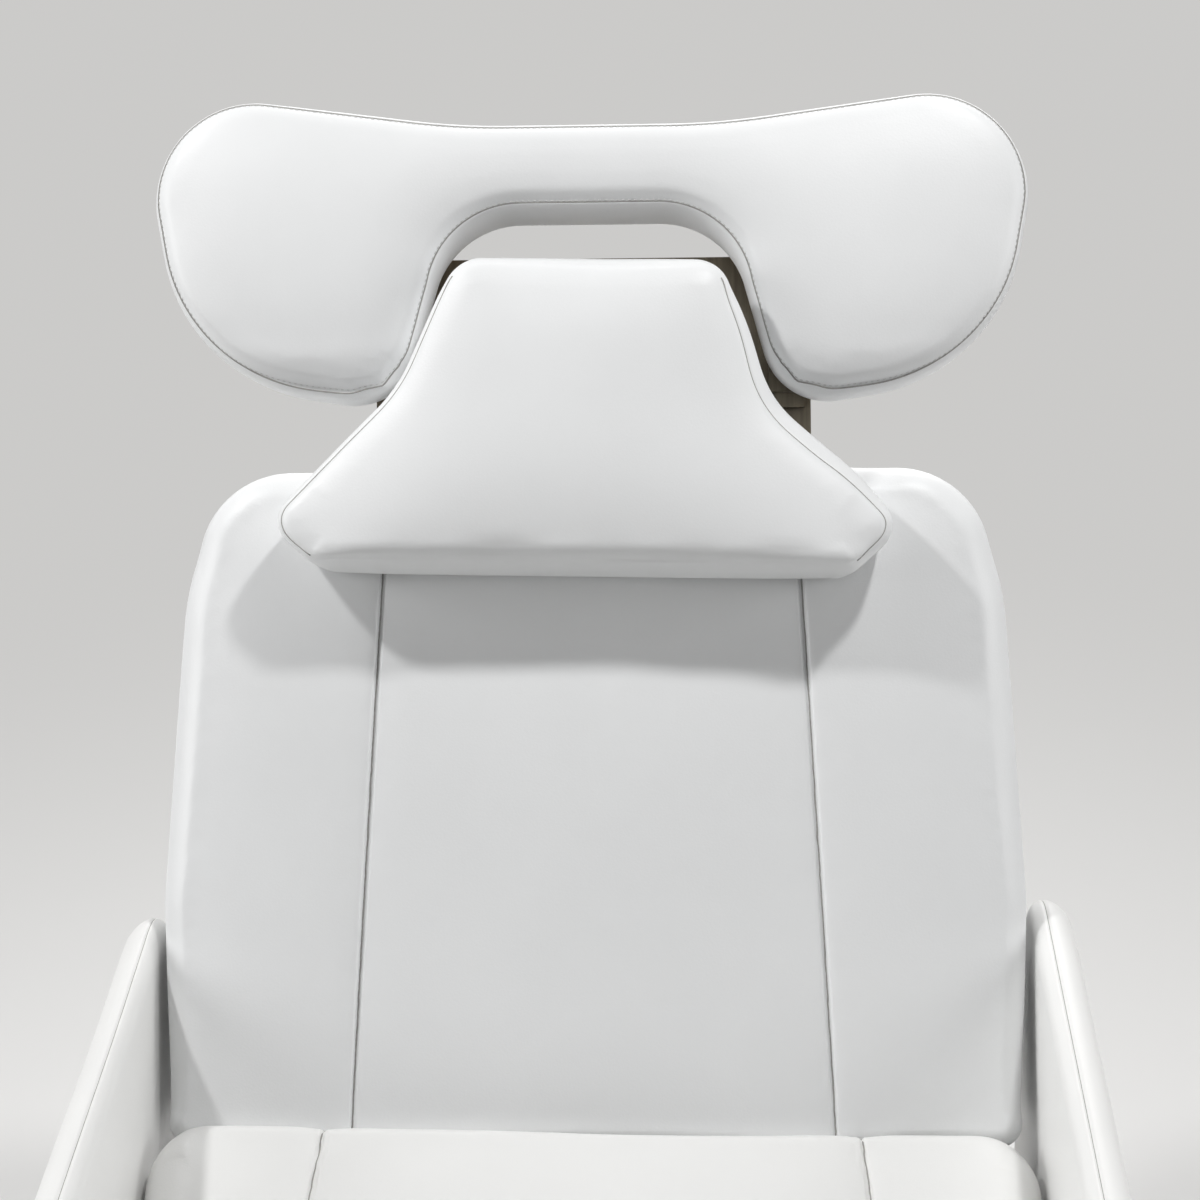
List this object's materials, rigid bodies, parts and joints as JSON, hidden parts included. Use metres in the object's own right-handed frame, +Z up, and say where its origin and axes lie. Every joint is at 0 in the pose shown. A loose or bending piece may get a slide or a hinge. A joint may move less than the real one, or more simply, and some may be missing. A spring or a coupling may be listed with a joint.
{
  "type": "reclining salon chair",
  "caption": "Reclining threading chair with a wing-shaped operator armrest round a head pillow, padded arms, a leg rest and a hydraulic swivel pedestal.",
  "frame": {"origin": "centre of the floor pad's underside, on the pedestal's axis", "axes": "+Z up from the floor, the chair faces -Y, +X is to the right in the picture"},
  "size_m": [0.65, 1.075, 1.0944],
  "materials": {
    "white_leather": "satin",
    "plywood": "matte",
    "black_rubber": "matte",
    "base_chrome": "polished",
    "ground_steel": "satin",
    "frame_paint": "satin",
    "cast_metal": "matte",
    "bearing_brass": "satin",
    "zinc_steel": "satin",
    "carrier_steel": "satin",
    "crossbar_aluminium": "satin",
    "white_shell": "matte",
    "black_plastic": "matte"
  },
  "bodies": {
    "root": {"floor_pad": "black_rubber", "base_plate": "base_chrome", "base_dome": "base_chrome", "pump_cylinder": "base_chrome", "pump_bolts": "zinc_steel", "pump_block": "cast_metal", "guide_bush": "bearing_brass", "wiper_seal": "black_rubber", "pedal_pin": "ground_steel"},
    "pedal": {"pedal_lever": "frame_paint", "pedal_pad": "black_rubber"},
    "lift": {"ram": "ground_steel", "piston_seal": "black_rubber", "thrust_washer": "bearing_brass"},
    "seat": {"swivel_hub": "cast_metal", "swivel_plate": "frame_paint", "swivel_bolts": "zinc_steel", "seat_cross_tubes": "frame_paint", "seat_rails": "frame_paint", "seat_board": "plywood", "seat_cushion": "white_leather", "arm_pad_left": "white_leather", "arm_pad_right": "white_leather", "arm_cores": "plywood", "arm_brackets": "frame_paint", "arm_bolts": "zinc_steel", "hinge_brackets": "frame_paint", "locking_discs": "frame_paint", "hinge_pins": "ground_steel", "leg_brackets": "frame_paint", "leg_pins": "ground_steel"},
    "lever": {"release_rod": "ground_steel", "release_lever": "frame_paint", "lever_grip": "black_plastic"},
    "back": {"back_board": "plywood", "back_cushion": "white_leather", "back_straps": "frame_paint", "back_uprights": "frame_paint", "back_cover": "white_shell", "head_sleeves": "frame_paint", "sleeve_liners": "black_plastic", "rear_link_pins": "ground_steel"},
    "link": {"link_rods": "frame_paint"},
    "leg": {"leg_board": "plywood", "leg_cushion": "white_leather", "leg_uprights": "frame_paint", "front_link_pins": "ground_steel"},
    "head": {"head_posts": "ground_steel", "head_crossbar": "crossbar_aluminium", "tilt_pin": "ground_steel"},
    "carrier": {"carrier_plate": "carrier_steel", "wing_guides": "carrier_steel", "pillow_board": "plywood", "pillow_spacers": "crossbar_aluminium", "pillow_screws": "zinc_steel", "pillow_cushion": "white_leather"},
    "wing": {"wing_pad": "white_leather", "wing_board": "plywood", "wing_slide_bars": "carrier_steel", "wing_screws": "zinc_steel"}
  },
  "joints": [
    {"name": "seat_lift", "type": "slide", "parent": "root", "child": "lift", "axis": [0, 0, 1], "range_m": [0, 0.15]},
    {"name": "seat_swivel", "type": "hinge", "parent": "lift", "child": "seat", "pos_m": [0, 0, 0.3], "axis": [0, 0, 1], "continuous": true},
    {"name": "pump_pedal", "type": "hinge", "parent": "root", "child": "pedal", "pos_m": [0, 0.065, 0.12], "axis": [-1, 0, 0], "range_deg": [0, 18], "stiffness_Nm_per_rad": 20, "springref_deg": -17.19},
    {"name": "back_recline", "type": "hinge", "parent": "seat", "child": "back", "pos_m": [0, 0.25262, 0.45006], "axis": [-1, 0, 0], "range_deg": [-15, 52]},
    {"name": "leg_lift", "type": "hinge", "parent": "seat", "child": "leg", "pos_m": [0, -0.245, 0.385], "axis": [-1, 0, 0], "range_deg": [-15, 52]},
    {"name": "link_swing", "type": "hinge", "parent": "back", "child": "link", "pos_m": [0, 0.27672, 0.37588], "axis": [-1, 0, 0], "range_deg": [-52, 15]},
    {"name": "recline_release", "type": "hinge", "parent": "seat", "child": "lever", "pos_m": [0, 0.25262, 0.45006], "axis": [-1, 0, 0], "range_deg": [0, 20], "stiffness_Nm_per_rad": 4, "springref_deg": -20.05},
    {"name": "head_lift", "type": "slide", "parent": "back", "child": "head", "axis": [0, 0.5446, 0.8387], "range_m": [0, 0.08]},
    {"name": "head_tilt", "type": "hinge", "parent": "head", "child": "carrier", "pos_m": [0, 0.54835, 0.88341], "axis": [-1, 0, 0], "range_deg": [0, 35]},
    {"name": "wing_lift", "type": "slide", "parent": "carrier", "child": "wing", "axis": [0, 0.5446, 0.8387], "range_m": [0, 0.06]}
  ],
  "couplings": [
    {"joint": "leg_lift", "follows": "back_recline", "ratio": 1},
    {"joint": "link_swing", "follows": "back_recline", "ratio": -1}
  ]
}
